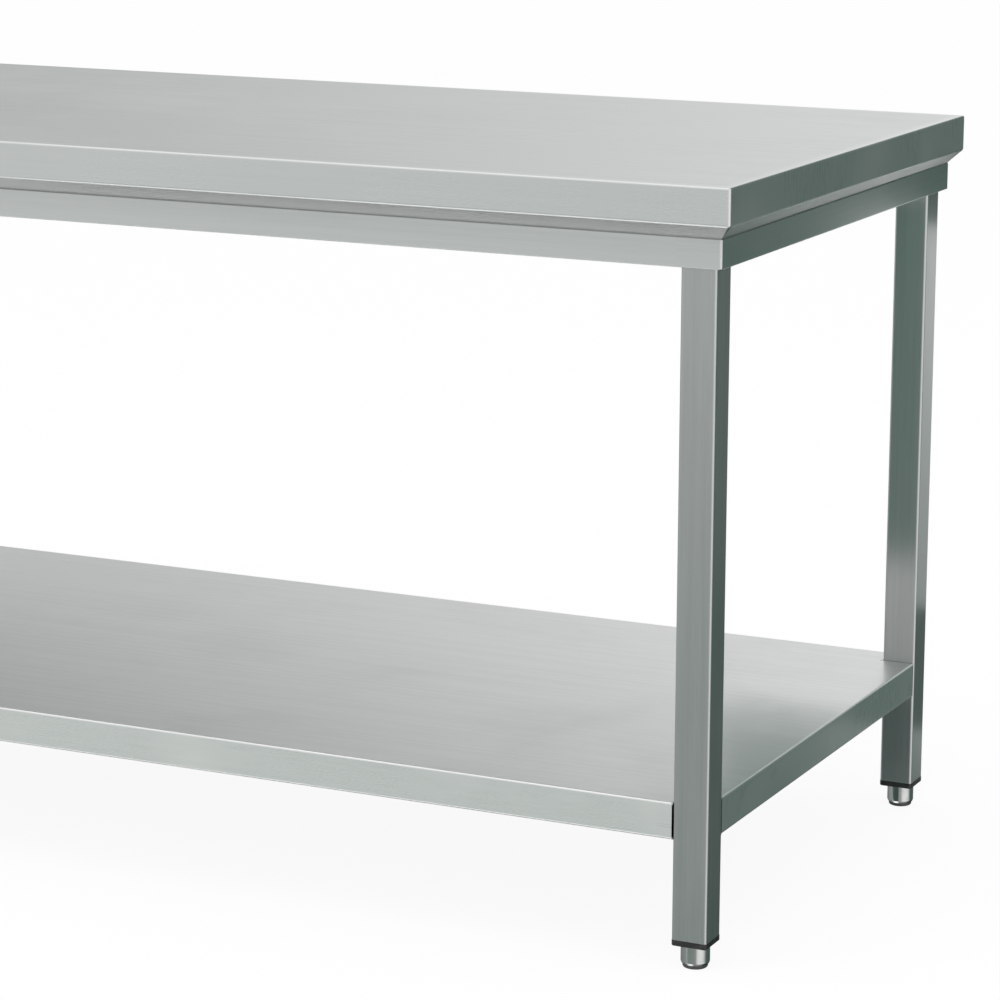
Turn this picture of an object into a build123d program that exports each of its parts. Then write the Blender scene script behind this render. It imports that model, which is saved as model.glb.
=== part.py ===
"""Stainless steel work table with a solid undershelf on four square legs.

Knock-down construction: a folded worktop with a board glued inside it, four rails round its
underside, a pocket in each corner that takes the leg, a folded shelf notched round the legs,
and a screw-adjusted foot in each leg. Millimetres, +Z up, +X along the length, front at -Y,
origin on the floor under the middle of the worktop.
"""

import os

from build123d import *

# Overall sizes
length = 1500.0
depth = 700.0
height = 800.0

# Worktop sheet: drop edge, 45 degree return below it, upright lip behind the rails
top_sheet = 1.2
edge_drop = 38.0
return_size = 13.0
lip_height = 10.0
bend_radius = 2.5  # outer radius of every fold in the top and the shelf

# Rails under the worktop
rail_sheet = 1.5
rail_fold_radius = 1.2
rail_height = 31.0  # from the foot of the return down to the rail's lower face
rail_flange = 20.0
rail_hem = 8.0
rail_top_gap = 0.2

# Board glued under the worktop sheet
board_thickness = 18.0
board_clearance = 1.3  # between the board and the lip it passes on the way in

# Legs, square tube
leg_size = 38.0
leg_wall = 1.2
leg_corner_radius = 3.0
leg_lip_gap = 5.3  # between the leg and the lip in front of it
leg_gap = 0.3  # between the leg and its pocket

# Leg pockets in the corners of the rail frame
socket_sheet = 2.0
socket_plate = 2.5
socket_wing = 24.0  # how far each welded wing runs on past the pocket
socket_plate_reach = 32.0  # how far the top plate runs on past the pocket
socket_bottom_clearance = 6.5  # above the rails' lower flange

# Undershelf
shelf_height = 175.0  # upper face above the floor
shelf_sheet = 1.2
shelf_drop = 39.0
shelf_setback = 1.0  # of the shelf's edge behind the outer faces of the legs
shelf_lip = 15.0
notch_gap = 0.5  # between the leg and the notch cut round it
shelf_bracket_sheet = 2.0
shelf_bracket_reach = 26.0
shelf_bracket_clearance = 2.0  # above the shelf's lower lip

# Stiffeners, folded hat sections that run along the length
top_hat_depth = 25.0
top_hat_width = 40.0
top_hat_flange = 15.0
top_hat_sheet = 1.2
top_hat_end_gap = 100.0
shelf_hat_depth = 20.0
shelf_hat_width = 50.0
shelf_hat_flange = 14.0
shelf_hat_sheet = 1.0
shelf_hat_end_gap = 20.0
hat_spacing = 300.0  # between the centre lines of each pair

# Leg bolts, M6, in blind rivet nuts
bolt_radius = 3.0
bolt_length = 16.0
bolt_head_flats = 10.0
bolt_head_height = 4.0
bolt_head_corner_radius = 5.8  # where a cylinder turns the head's six corners off
bolt_head_chamfer = 0.35
bolt_head_chamfer_width = 0.6
bolt_stagger = 14.0  # between the two bolts of one corner, so that they miss each other
washer_radius = 9.0
washer_thickness = 1.6
nut_flange_radius = 6.5
nut_flange_thickness = 1.5
nut_body_radius = 4.5
nut_body_length = 14.0
nut_bulge_radius = 6.0
nut_bulge_length = 2.5
nut_bulge_rounding = 0.875
thread_clearance = 0.05
hole_clearance = 0.3

# Board screws, 4 mm pan head
screw_radius = 2.0
screw_length = 14.0
screw_head_radius = 3.9
screw_head_height = 2.5
screw_head_rounding = 1.4
screw_point = 1.2
screw_recess_width = 1.2
screw_recess_length = 4.0
screw_recess_depth = 1.4
screws_per_flange = 5
screw_end_distance = 40.0
socket_screw_margin = 8.0

# Feet: nylon plug with a captive nut, threaded stem, steel cup, swivelling pad
plug_flange = 6.0
plug_overhang = 0.3
plug_depth = 20.0
plug_core_gap = 0.8  # between the plug's core and the tube
plug_fin_gap = 0.1  # between the plug's fins and the tube
plug_fin_thickness = 1.5
plug_fins = 3
plug_first_fin = 3.7  # from the leg's end up to the lowest fin
plug_core_radius = 1.0
plug_flange_chamfer = 0.8
stem_radius = 5.0
stem_bore_gap = 0.5
stem_nut_gap = 0.05
foot_nut_flats = 17.0
foot_nut_height = 8.0
foot_nut_gap = 0.1
foot_nut_depth = 1.0  # of the nut below the plug's top
cup_radius = 15.0
cup_wall = 1.5
cup_roof = 3.0
cup_height = 20.2
cup_rim_chamfer = 1.2
cup_edge_radius = 1.0
cup_fit = 0.02
foot_gap = 0.3  # between parts of a foot that turn or slide against each other
pad_radius = 13.0
pad_base = 4.2
pad_edge_radius = 2.2
pad_hub_radius = 8.0
pad_hub_height = 8.5
stem_tip_radius = 4.5
stem_tip_height = 3.0
stem_neck_radius = 3.4
stem_neck_height = 3.2
stem_chamfer = 1.0
stem_tip_chamfer = 0.6
foot_travel = 25.0  # how far the foot can be screwed out

# Heights that follow
edge_bottom = height - edge_drop
return_bottom = edge_bottom - return_size
rail_bottom = return_bottom - rail_height
board_bottom = height - top_sheet - board_thickness
leg_top = board_bottom - socket_plate
socket_bottom = rail_bottom + rail_sheet + socket_bottom_clearance
cup_bottom = pad_base + foot_gap
plug_bottom = cup_bottom + cup_height + foot_gap
leg_bottom = plug_bottom + plug_flange
plug_top = leg_bottom + plug_depth
foot_nut_bottom = plug_top - foot_nut_height - foot_nut_depth
shelf_bottom = shelf_height - shelf_drop
shelf_under = shelf_height - shelf_sheet
top_bolt_height = (leg_top + socket_bottom) / 2
shelf_bolt_height = (shelf_under + shelf_bottom) / 2

# Insets from the worktop's outer edge that follow
rail_inner = return_size + rail_sheet
lip_inner = rail_inner + top_sheet
leg_outer = lip_inner + leg_lip_gap
leg_centre = leg_outer + leg_size / 2
leg_inner = leg_outer + leg_size
pocket_face = leg_inner + leg_gap
pocket_back = pocket_face + socket_sheet
board_inset = lip_inner + board_clearance
shelf_inset = leg_outer + shelf_setback
notch_inset = leg_inner + notch_gap
bracket_face = notch_inset + shelf_sheet
bracket_back = bracket_face + shelf_bracket_sheet

os.makedirs("parts", exist_ok=True)

CORNERS = {
    "front_left": (-1, -1),
    "front_right": (1, -1),
    "rear_left": (-1, 1),
    "rear_right": (1, 1),
}


def write(part, name):
    """Labels a finished piece and writes its STEP file."""
    part.label = name
    export_step(part, f"parts/{name}.step")


def corner_point(side, end, x_inset, y_inset):
    """The plan point at the given insets from the worktop's outer edges, at one corner."""
    return side * (length / 2 - x_inset), end * (depth / 2 - y_inset)


def inset_rectangle(side, end, x_insets, y_insets):
    """Adds a plan rectangle to the open sketch, given by its insets at one corner."""
    with Locations(corner_point(side, end, sum(x_insets) / 2, sum(y_insets) / 2)):
        Rectangle(x_insets[1] - x_insets[0], y_insets[1] - y_insets[0])


def bolt_planes(side, end, face_inset, middle_height):
    """Two planes at one corner, on the faces at face_inset, that look into the table.

    The bolt on the X face is half a stagger high and the one on the Y face half a stagger low.
    """
    x, y = corner_point(side, end, face_inset, leg_centre)
    on_x = Plane((x, y, middle_height + bolt_stagger / 2), x_dir=(0, 0, 1), z_dir=(-side, 0, 0))
    x, y = corner_point(side, end, leg_centre, face_inset)
    on_y = Plane((x, y, middle_height - bolt_stagger / 2), x_dir=(0, 0, 1), z_dir=(0, -end, 0))
    return on_x, on_y


def all_bolt_planes(face_inset, middle_height):
    """The bolt planes of all four corners at one height."""
    planes = []
    for side, end in CORNERS.values():
        planes += bolt_planes(side, end, face_inset, middle_height)
    return planes


def bore_walls(planes, radius, thickness):
    """Cuts round holes in the open part, each through a wall whose near face is on its plane."""
    for plane in planes:
        with BuildSketch(plane, mode=Mode.PRIVATE) as bore:
            Circle(radius)
        extrude(bore.sketch, amount=thickness, both=True, mode=Mode.SUBTRACT)


def hat_outline(width, section_depth, flange, sheet):
    """The corners of a hat profile: flanges up on the X axis, crown down at -Y."""
    half = width / 2
    right = [
        (half, sheet - section_depth),
        (half, 0),
        (half + flange, 0),
        (half + flange, -sheet),
        (half + sheet, -sheet),
        (half + sheet, -section_depth),
    ]
    left = [(-x, y) for x, y in reversed(right)]
    return right + left


# Worktop ---------------------------------------------------------------------------------

inner_length = length - 2 * rail_inner
inner_depth = depth - 2 * rail_inner

with BuildPart() as top_panel:
    with BuildSketch(Plane.XY.offset(edge_bottom)):
        RectangleRounded(length, depth, bend_radius)
    extrude(amount=edge_drop)
    top_edges = top_panel.edges().group_by(Axis.Z)[-1]
    fillet(top_edges, bend_radius)
    # The return runs in under the edge until it passes behind the rails.
    with BuildSketch(Plane.XY.offset(edge_bottom)):
        RectangleRounded(length, depth, bend_radius)
    with BuildSketch(Plane.XY.offset(edge_bottom - rail_inner)):
        RectangleRounded(inner_length, inner_depth, bend_radius)
    loft()
    with BuildSketch(Plane.XY.offset(edge_bottom - rail_inner)):
        RectangleRounded(inner_length, inner_depth, bend_radius)
    extrude(amount=-lip_height)
    open_face = top_panel.faces().sort_by(Axis.Z)[0]
    offset(amount=-top_sheet, openings=open_face)
write(top_panel.part, "top_panel")

# Screws and the places they go -------------------------------------------------------------

with BuildPart() as board_screw:
    with BuildSketch():
        Circle(screw_head_radius)
    extrude(amount=-screw_head_height)
    fillet(board_screw.edges().sort_by(Axis.Z)[0], screw_head_rounding)
    with BuildSketch():
        Circle(screw_radius)
    extrude(amount=screw_length)
    chamfer(board_screw.edges().sort_by(Axis.Z)[-1], screw_point)
    with BuildSketch(Plane.XY.offset(-screw_head_height)):
        Rectangle(screw_recess_length, screw_recess_width)
        Rectangle(screw_recess_width, screw_recess_length)
    extrude(amount=screw_recess_depth, mode=Mode.SUBTRACT)

hat_length = length - 2 * top_hat_end_gap
screw_step = (hat_length - 2 * screw_end_distance) / (screws_per_flange - 1)
hat_screw_x = [screw_end_distance - hat_length / 2 + n * screw_step for n in range(screws_per_flange)]
flange_centre = (top_hat_width + top_hat_sheet + top_hat_flange) / 2
hat_rows = [
    row * hat_spacing / 2 + edge * flange_centre for row in (-1, 1) for edge in (-1, 1)
]
hat_screws = [
    (x, y, board_bottom - top_hat_sheet) for x in hat_screw_x for y in hat_rows
]
plate_edge = pocket_back + socket_plate_reach
near = leg_outer + socket_screw_margin
far = plate_edge - socket_screw_margin
socket_screws = [
    (*corner_point(side, end, x_inset, y_inset), board_bottom - socket_plate)
    for side, end in CORNERS.values()
    for x_inset, y_inset in ((far, near), (near, far), (far, far))
]

with BuildPart() as board_screws:
    with Locations(*hat_screws, *socket_screws):
        add(board_screw.part)
write(board_screws.part, "board_screws")

with BuildPart() as top_board:
    with BuildSketch(Plane.XY.offset(board_bottom)):
        Rectangle(length - 2 * board_inset, depth - 2 * board_inset)
        with Locations(*[(x, y) for x, y, _ in hat_screws + socket_screws]):
            Circle(screw_radius + thread_clearance, mode=Mode.SUBTRACT)
    extrude(amount=board_thickness)
write(top_board.part, "top_board")

# Stiffeners under the worktop ----------------------------------------------------------------

for row, name in ((-1, "front_top_stiffener"), (1, "rear_top_stiffener")):
    middle = row * hat_spacing / 2
    section_plane = Plane((-hat_length / 2, middle, board_bottom), x_dir=(0, 1, 0), z_dir=(1, 0, 0))
    with BuildPart() as stiffener:
        with BuildSketch(section_plane):
            with BuildLine():
                Polyline(
                    *hat_outline(top_hat_width, top_hat_depth, top_hat_flange, top_hat_sheet),
                    close=True,
                )
            make_face()
        extrude(amount=hat_length)
        folds = stiffener.edges().filter_by(Axis.X).sort_by(Axis.Z)[0:2]
        fillet(folds, bend_radius)
        with BuildSketch(Plane.XY.offset(board_bottom)):
            with Locations(*[(x, middle + e * flange_centre) for x in hat_screw_x for e in (-1, 1)]):
                Circle(screw_radius + hole_clearance)
        extrude(amount=-top_hat_sheet, mode=Mode.SUBTRACT)
    write(stiffener.part, name)

# Rails -------------------------------------------------------------------------------------

rail_top = edge_bottom - rail_inner - rail_top_gap


def make_rail(run, across, turn):
    """A channel rail whose outer face is parallel to X at the front, turned about Z into place.

    run is the frame's outside length along the rail, across its outside depth.
    """
    face = -across / 2 + return_size
    reach = run / 2 - return_size
    flange_reach = run / 2 - pocket_back - leg_gap
    with BuildPart() as rail:
        with BuildSketch(Plane.XY.offset(rail_bottom)):
            with BuildLine():
                Polyline(
                    (-reach, face),
                    (reach, face),
                    (reach - rail_sheet, face + rail_sheet),
                    (-reach + rail_sheet, face + rail_sheet),
                    close=True,
                )
            make_face()
        extrude(amount=rail_top - rail_bottom)
        with BuildSketch(Plane.XY.offset(rail_bottom)):
            with Locations((0, face + rail_flange / 2)):
                Rectangle(2 * flange_reach, rail_flange)
        extrude(amount=rail_sheet)
        with BuildSketch(Plane.XY.offset(rail_bottom)):
            with Locations((0, face + rail_flange - rail_sheet / 2)):
                Rectangle(2 * flange_reach, rail_sheet)
        extrude(amount=rail_sheet + rail_hem)
        lower_fold = rail.edges().filter_by(Axis.X).group_by(Axis.Z)[0].sort_by(Axis.Y)
        fillet((lower_fold[0], lower_fold[-1]), rail_fold_radius)
    return rail.part.rotate(Axis.Z, turn)


write(make_rail(length, depth, 0), "front_rail")
write(make_rail(length, depth, 180), "rear_rail")
write(make_rail(depth, length, -90), "left_rail")
write(make_rail(depth, length, 90), "right_rail")

# Leg pockets ---------------------------------------------------------------------------------

for corner, (side, end) in CORNERS.items():
    with BuildPart() as socket:
        with BuildSketch(Plane.XY.offset(socket_bottom)):
            inset_rectangle(side, end, (pocket_face, pocket_back), (lip_inner, pocket_back))
            inset_rectangle(side, end, (lip_inner, pocket_back), (pocket_face, pocket_back))
            wing_end = pocket_back + socket_wing
            inset_rectangle(side, end, (pocket_face, wing_end), (lip_inner, lip_inner + socket_sheet))
            inset_rectangle(side, end, (lip_inner, lip_inner + socket_sheet), (pocket_face, wing_end))
        extrude(amount=leg_top - socket_bottom)
        with BuildSketch(Plane.XY.offset(leg_top)):
            inset_rectangle(side, end, (leg_outer, plate_edge), (leg_outer, plate_edge))
            with Locations(*[p[:2] for p in socket_screws if p[0] * side > 0 and p[1] * end > 0]):
                Circle(screw_radius + hole_clearance, mode=Mode.SUBTRACT)
        extrude(amount=socket_plate)
        bore_walls(
            bolt_planes(side, end, pocket_face, top_bolt_height),
            nut_flange_radius + hole_clearance,
            socket_sheet,
        )
    write(socket.part, f"{corner}_leg_socket")

# Legs ----------------------------------------------------------------------------------------

for corner, (side, end) in CORNERS.items():
    with BuildPart() as leg:
        with BuildSketch(Plane.XY.offset(leg_bottom)):
            with Locations(corner_point(side, end, leg_centre, leg_centre)):
                RectangleRounded(leg_size, leg_size, leg_corner_radius)
                bore = leg_size - 2 * leg_wall
                RectangleRounded(bore, bore, leg_corner_radius - leg_wall, mode=Mode.SUBTRACT)
        extrude(amount=leg_top - leg_bottom)
        for middle_height in (top_bolt_height, shelf_bolt_height):
            bore_walls(
                bolt_planes(side, end, leg_inner, middle_height),
                nut_body_radius + thread_clearance,
                leg_wall,
            )
    write(leg.part, f"{corner}_leg")

# Undershelf ----------------------------------------------------------------------------------

shelf_length = length - 2 * shelf_inset
shelf_depth = depth - 2 * shelf_inset
notch = notch_inset - shelf_inset

with BuildPart() as shelf_panel:
    with BuildSketch(Plane.XY.offset(shelf_bottom)):
        Rectangle(shelf_length, shelf_depth)
        with GridLocations(shelf_length - notch, shelf_depth - notch, 2, 2):
            Rectangle(notch, notch, mode=Mode.SUBTRACT)
    extrude(amount=shelf_drop)
    rim = shelf_panel.edges().group_by(Axis.Z)[-1]
    long_folds = rim.filter_by(Axis.X).filter_by(lambda e: e.length > 2 * notch)
    end_folds = rim.filter_by(Axis.Y).filter_by(lambda e: e.length > 2 * notch)
    fillet(long_folds + end_folds, bend_radius)
    open_face = shelf_panel.faces().sort_by(Axis.Z)[0]
    offset(amount=-shelf_sheet, openings=open_face)
    # Lower lips, folded inwards between the notches
    with BuildSketch(Plane.XY.offset(shelf_bottom)):
        with GridLocations(0, shelf_depth - shelf_lip, 1, 2):
            Rectangle(shelf_length - 2 * notch - 2 * shelf_bracket_reach, shelf_lip)
        with GridLocations(shelf_length - shelf_lip, 0, 2, 1):
            Rectangle(shelf_lip, shelf_depth - 2 * notch - 2 * shelf_bracket_reach)
    extrude(amount=shelf_sheet)
    tab_planes = all_bolt_planes(notch_inset, shelf_bolt_height)
    bore_walls(tab_planes, nut_flange_radius + hole_clearance, shelf_sheet)
write(shelf_panel.part, "shelf_panel")

for row, name in ((-1, "front_shelf_stiffener"), (1, "rear_shelf_stiffener")):
    run = shelf_length - 2 * shelf_sheet - 2 * shelf_hat_end_gap
    section_plane = Plane(
        (-run / 2, row * hat_spacing / 2, shelf_under), x_dir=(0, 1, 0), z_dir=(1, 0, 0)
    )
    with BuildPart() as stiffener:
        with BuildSketch(section_plane):
            with BuildLine():
                Polyline(
                    *hat_outline(shelf_hat_width, shelf_hat_depth, shelf_hat_flange, shelf_hat_sheet),
                    close=True,
                )
            make_face()
        extrude(amount=run)
        folds = stiffener.edges().filter_by(Axis.X).sort_by(Axis.Z)[0:2]
        fillet(folds, bend_radius)
    write(stiffener.part, name)

# Angle brackets that back the notch tabs at each leg
for corner, (side, end) in CORNERS.items():
    bracket_end = shelf_inset + bend_radius + hole_clearance  # clear of the fold's inside
    with BuildPart() as bracket:
        with BuildSketch(Plane.XY.offset(shelf_bottom + shelf_bracket_clearance)):
            inset_rectangle(side, end, (bracket_face, bracket_back), (bracket_end, bracket_back))
            inset_rectangle(side, end, (bracket_end, bracket_back), (bracket_face, bracket_back))
        extrude(amount=shelf_under - shelf_bottom - shelf_bracket_clearance)
        bore_walls(
            bolt_planes(side, end, bracket_face, shelf_bolt_height),
            bolt_radius + hole_clearance,
            shelf_bracket_sheet,
        )
    write(bracket.part, f"{corner}_shelf_bracket")

# Leg bolts, washers and rivet nuts ---------------------------------------------------------

with BuildPart() as rivet_nut:
    with BuildSketch():
        Circle(nut_flange_radius)
    extrude(amount=nut_flange_thickness)
    with BuildSketch():
        Circle(nut_body_radius)
    extrude(amount=-nut_body_length)
    with BuildSketch(Plane.XY.offset(-leg_wall)):
        Circle(nut_bulge_radius)
    extrude(amount=-nut_bulge_length)
    bulge_edges = rivet_nut.edges().filter_by(GeomType.CIRCLE)
    bulge_edges = bulge_edges.filter_by(lambda e: abs(e.radius - nut_bulge_radius) < 0.01)
    fillet(bulge_edges, nut_bulge_rounding)
    Hole(bolt_radius + thread_clearance)

with BuildPart() as rivet_nuts:
    with Locations(*all_bolt_planes(leg_inner, top_bolt_height)):
        add(rivet_nut.part)
    with Locations(*all_bolt_planes(leg_inner, shelf_bolt_height)):
        add(rivet_nut.part)
write(rivet_nuts.part, "rivet_nuts")

with BuildPart() as washer:
    with BuildSketch():
        Circle(washer_radius)
        Circle(bolt_radius + hole_clearance, mode=Mode.SUBTRACT)
    extrude(amount=washer_thickness)

with BuildPart() as bolt:
    with BuildSketch(Plane.XY.offset(washer_thickness)):
        RegularPolygon(bolt_head_flats / 2, 6, major_radius=False)
    extrude(amount=bolt_head_height)
    # The head's corners are turned off by a cylinder, and its upper edges are chamfered.
    with BuildSketch(Plane.XY.offset(washer_thickness)):
        Circle(bolt_head_corner_radius)
    extrude(amount=bolt_head_height, mode=Mode.INTERSECT)
    chamfer(
        bolt.edges().group_by(Axis.Z)[-1].filter_by(GeomType.LINE),
        length=bolt_head_chamfer,
        length2=bolt_head_chamfer_width,
    )
    with BuildSketch(Plane.XY.offset(washer_thickness)):
        Circle(bolt_radius)
    extrude(amount=-bolt_length)

for planes, name in (
    (all_bolt_planes(pocket_back, top_bolt_height), "socket"),
    (all_bolt_planes(bracket_back, shelf_bolt_height), "shelf"),
):
    with BuildPart() as washers:
        with Locations(*planes):
            add(washer.part)
    write(washers.part, f"{name}_washers")
    with BuildPart() as bolts:
        with Locations(*planes):
            add(bolt.part)
    write(bolts.part, f"{name}_bolts")

# Feet ----------------------------------------------------------------------------------------

tube_bore = leg_size - 2 * leg_wall
core_size = tube_bore - 2 * plug_core_gap
fin_size = tube_bore - 2 * plug_fin_gap
fin_step = (plug_depth - plug_fin_thickness) / plug_fins
stem_top = foot_nut_bottom + foot_nut_height + foot_travel
stem_tip_bottom = pad_base + 3 * foot_gap
stem_neck_bottom = stem_tip_bottom + stem_tip_height
stem_shoulder = stem_neck_bottom + stem_neck_height

for corner, (side, end) in CORNERS.items():
    x, y = corner_point(side, end, leg_centre, leg_centre)

    with BuildPart() as plug:
        with BuildSketch(Plane((x, y, plug_bottom))):
            flange_size = leg_size + 2 * plug_overhang
            RectangleRounded(flange_size, flange_size, leg_corner_radius + plug_overhang)
        extrude(amount=plug_flange)
        chamfer(plug.edges().group_by(Axis.Z)[0], plug_flange_chamfer)
        with BuildSketch(Plane((x, y, leg_bottom))):
            RectangleRounded(core_size, core_size, plug_core_radius)
        extrude(amount=plug_depth)
        for n in range(plug_fins):
            with BuildSketch(Plane((x, y, leg_bottom + plug_first_fin + n * fin_step))):
                RectangleRounded(fin_size, fin_size, leg_corner_radius - leg_wall)
            extrude(amount=plug_fin_thickness)
        with BuildSketch(Plane((x, y, plug_bottom))):
            Circle(stem_radius + stem_bore_gap)
        extrude(amount=plug_flange + plug_depth, mode=Mode.SUBTRACT)
        with BuildSketch(Plane((x, y, foot_nut_bottom))):
            RegularPolygon(foot_nut_flats / 2 + foot_nut_gap, 6, major_radius=False)
        extrude(amount=plug_top - foot_nut_bottom, mode=Mode.SUBTRACT)
    write(plug.part, f"{corner}_foot_plug")

    with BuildPart() as foot_nut:
        with BuildSketch(Plane((x, y, foot_nut_bottom))):
            RegularPolygon(foot_nut_flats / 2, 6, major_radius=False)
            Circle(stem_radius + stem_nut_gap, mode=Mode.SUBTRACT)
        extrude(amount=foot_nut_height)
    write(foot_nut.part, f"{corner}_foot_nut")

    # Round parts of the foot are turned about the leg's centre line, drawn in the XZ plane.
    with BuildPart() as stem:
        with BuildSketch(Plane((x, y, 0), x_dir=(1, 0, 0), z_dir=(0, -1, 0))):
            with BuildLine():
                Polyline(
                    (0, stem_tip_bottom),
                    (stem_tip_radius - stem_tip_chamfer, stem_tip_bottom),
                    (stem_tip_radius, stem_tip_bottom + stem_tip_chamfer),
                    (stem_tip_radius, stem_neck_bottom),
                    (stem_neck_radius, stem_neck_bottom),
                    (stem_neck_radius, stem_shoulder),
                    (stem_radius, stem_shoulder),
                    (stem_radius, stem_top - stem_chamfer),
                    (stem_radius - stem_chamfer, stem_top),
                    (0, stem_top),
                    close=True,
                )
            make_face()
        revolve(axis=Axis((x, y, 0), (0, 0, 1)))
    write(stem.part, f"{corner}_foot_stem")

    with BuildPart() as cup:
        with BuildSketch(Plane((x, y, cup_bottom))):
            Circle(cup_radius)
        extrude(amount=cup_height)
        chamfer(cup.edges().sort_by(Axis.Z)[0], cup_rim_chamfer)
        fillet(cup.edges().sort_by(Axis.Z)[-1], cup_edge_radius)
        with BuildSketch(Plane((x, y, cup_bottom))):
            Circle(cup_radius - cup_wall)
        extrude(amount=cup_height - cup_roof, mode=Mode.SUBTRACT)
        with BuildSketch(Plane((x, y, cup_bottom))):
            Circle(stem_radius + cup_fit)
        extrude(amount=cup_height, mode=Mode.SUBTRACT)
    write(cup.part, f"{corner}_foot_cup")

    with BuildPart() as pad:
        with BuildSketch(Plane((x, y, 0))):
            Circle(pad_radius)
        extrude(amount=pad_base)
        fillet(pad.edges().sort_by(Axis.Z)[0], pad_edge_radius)
        with BuildSketch(Plane((x, y, pad_base))):
            Circle(pad_hub_radius)
        extrude(amount=pad_hub_height)
        # The stem's tip snaps into this seat and turns in it.
        with BuildSketch(Plane((x, y, stem_tip_bottom - foot_gap))):
            Circle(stem_tip_radius + foot_gap)
        extrude(amount=stem_tip_height + 2 * foot_gap, mode=Mode.SUBTRACT)
        with BuildSketch(Plane((x, y, stem_neck_bottom))):
            Circle(stem_neck_radius + foot_gap)
        extrude(amount=stem_neck_height, mode=Mode.SUBTRACT)
        with BuildSketch(Plane((x, y, stem_shoulder - foot_gap))):
            Circle(stem_radius + foot_gap)
        extrude(amount=pad_hub_height, mode=Mode.SUBTRACT)
    write(pad.part, f"{corner}_foot_pad")
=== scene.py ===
"""Stainless steel work table: folded sheets, tube legs and screw feet with their finishes.

Every sheet and tube is a closed outline carried along a run or round a frame. Metres, in the
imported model's frame.
"""

import math
from collections import namedtuple

import bpy
import numpy as np
from mathutils import Euler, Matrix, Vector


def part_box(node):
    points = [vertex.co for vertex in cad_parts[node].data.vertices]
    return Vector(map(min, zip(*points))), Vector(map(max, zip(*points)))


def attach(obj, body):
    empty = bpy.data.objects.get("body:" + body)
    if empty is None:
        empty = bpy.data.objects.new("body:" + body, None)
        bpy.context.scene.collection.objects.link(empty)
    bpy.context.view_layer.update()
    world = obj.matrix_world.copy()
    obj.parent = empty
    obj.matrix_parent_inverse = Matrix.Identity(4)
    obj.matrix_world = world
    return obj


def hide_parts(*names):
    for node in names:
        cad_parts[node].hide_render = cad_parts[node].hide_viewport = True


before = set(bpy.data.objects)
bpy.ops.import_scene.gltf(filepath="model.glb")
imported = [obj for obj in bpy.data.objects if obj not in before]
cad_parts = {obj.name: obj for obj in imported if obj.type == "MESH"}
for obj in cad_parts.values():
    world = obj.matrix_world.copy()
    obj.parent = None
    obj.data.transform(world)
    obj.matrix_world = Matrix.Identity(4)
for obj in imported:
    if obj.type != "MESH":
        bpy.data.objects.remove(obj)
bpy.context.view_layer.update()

MM = 0.001

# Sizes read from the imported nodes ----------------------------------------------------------

top_low, top_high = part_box("top_panel")
length, depth = top_high.x - top_low.x, top_high.y - top_low.y
height = top_high.z
lip_bottom = top_low.z
rail_low, rail_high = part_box("front_rail")
rail_bottom, rail_top = rail_low.z, rail_high.z
return_size = rail_low.y - top_low.y
rail_flange = rail_high.y - rail_low.y
leg_low, leg_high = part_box("front_left_leg")
leg_size = leg_high.x - leg_low.x
leg_outer = leg_low.x - top_low.x
shelf_low, shelf_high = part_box("shelf_panel")
shelf_inset = shelf_low.x - top_low.x
cup_low, cup_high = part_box("front_left_foot_cup")
stem_low, stem_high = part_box("front_left_foot_stem")

# Sheet sizes that the boxes don't give
TOP_SHEET = 1.2 * MM
RAIL_SHEET = 1.5 * MM
RAIL_HEM = 8 * MM
LEG_WALL = 1.2 * MM
LEG_RADIUS = 3.0 * MM
SHELF_SHEET = 1.2 * MM
SHELF_LIP = 15 * MM
EDGE_DROP = 38 * MM
FOLD = 2.5 * MM  # outer radius of a fold in the top and the shelf
SOFT_FOLD = 4.5 * MM  # the half-closed fold under the drop edge
RAIL_FOLD = 1.2 * MM
WELDED_CORNER = 3.5 * MM  # outer radius of an upright corner, welded and ground
CUT_EDGE = 0.25 * MM  # rounding of a deburred cut edge
NOTCH_GAP = 0.5 * MM
SEAM = 0.04 * MM  # half the seam where two rails meet
LEAST_RADIUS = 0.05 * MM  # of a corner arc that shrinks towards its centre
SHARP = 0.02 * MM  # radius of a corner that is meant to be sharp
CORNER_STEPS = 7
FOLD_STEPS, EDGE_STEPS = 6, 2  # along an arc over and under half a millimetre in radius

Shell = namedtuple("Shell", "points normals wear sheet grain faces caps")

CORNERS = {
    "front_left": (-1, -1),
    "front_right": (1, -1),
    "rear_left": (-1, 1),
    "rear_right": (1, 1),
}


# Outlines and runs -------------------------------------------------------------------------


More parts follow.
